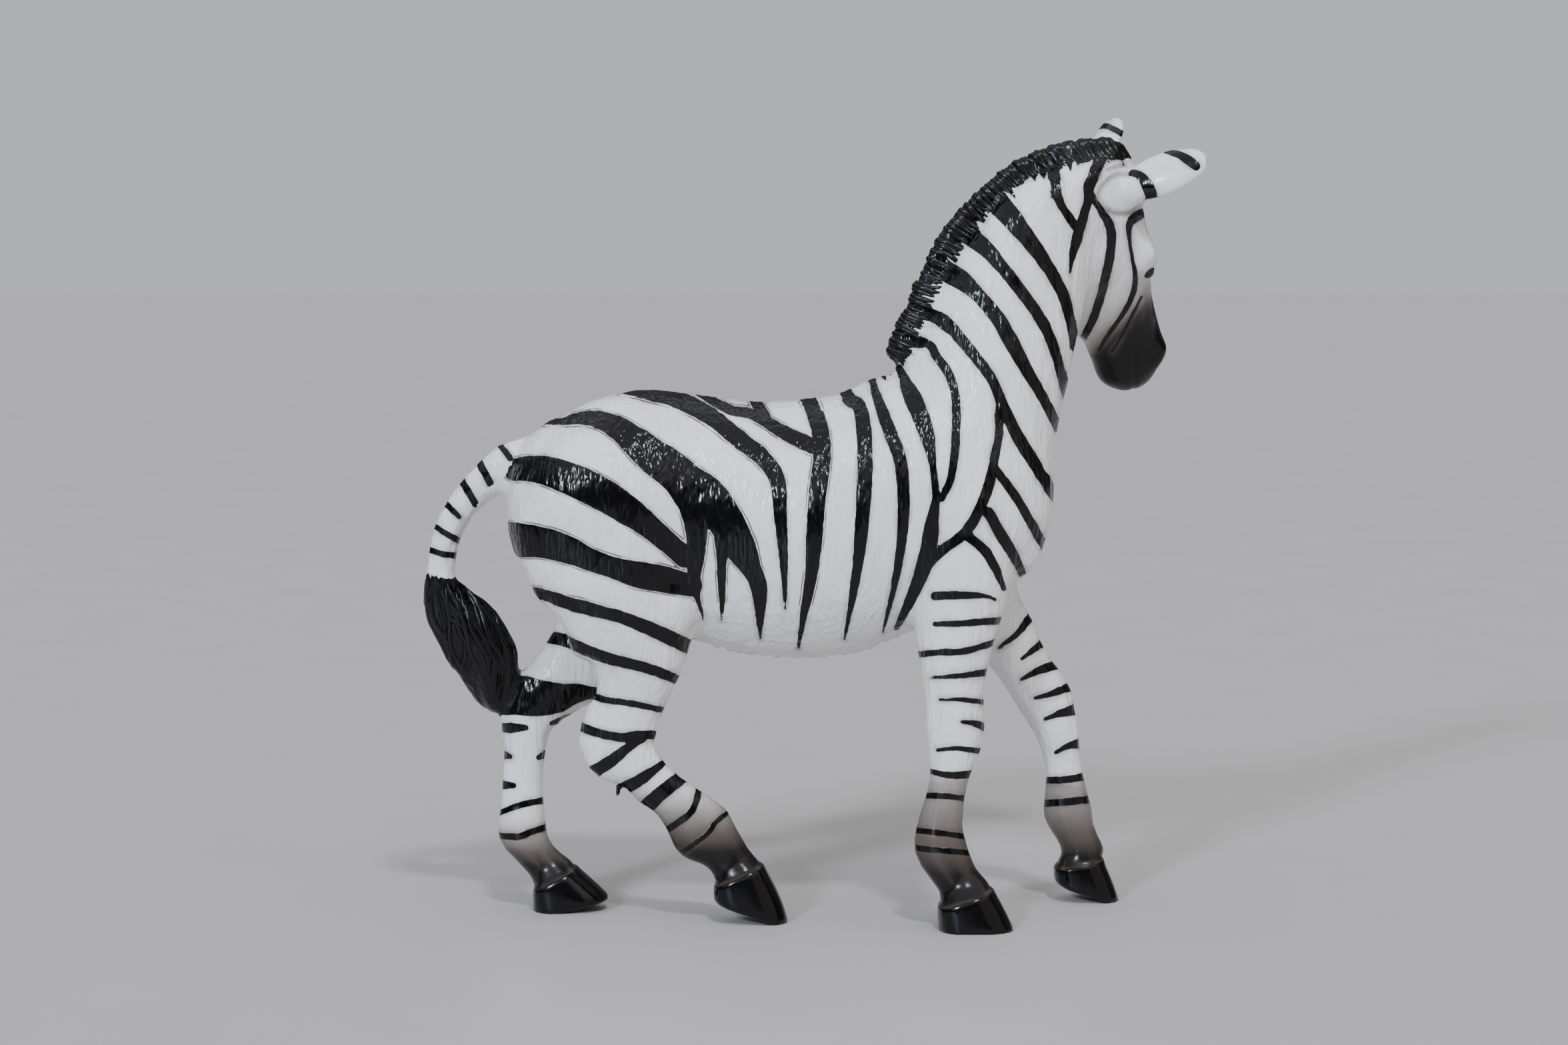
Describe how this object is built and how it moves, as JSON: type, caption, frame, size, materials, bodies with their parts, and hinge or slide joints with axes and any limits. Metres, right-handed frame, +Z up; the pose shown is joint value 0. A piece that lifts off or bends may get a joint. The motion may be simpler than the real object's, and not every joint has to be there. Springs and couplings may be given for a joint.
{
  "type": "zebra figurine",
  "caption": "Standing plastic zebra toy, striding with its head turned to its left, with a carved upright mane and a tail that joins the far hock.",
  "frame": {"origin": "centre of the bounding box, on the floor under the hooves", "axes": "+X to the animal's front, +Y to its left, +Z up"},
  "size_m": [0.1064, 0.0412, 0.1081],
  "materials": {
    "zebra": "glossy white plastic with painted black stripes"
  },
  "bodies": {
    "root": {"zebra": "zebra"}
  },
  "joints": []
}
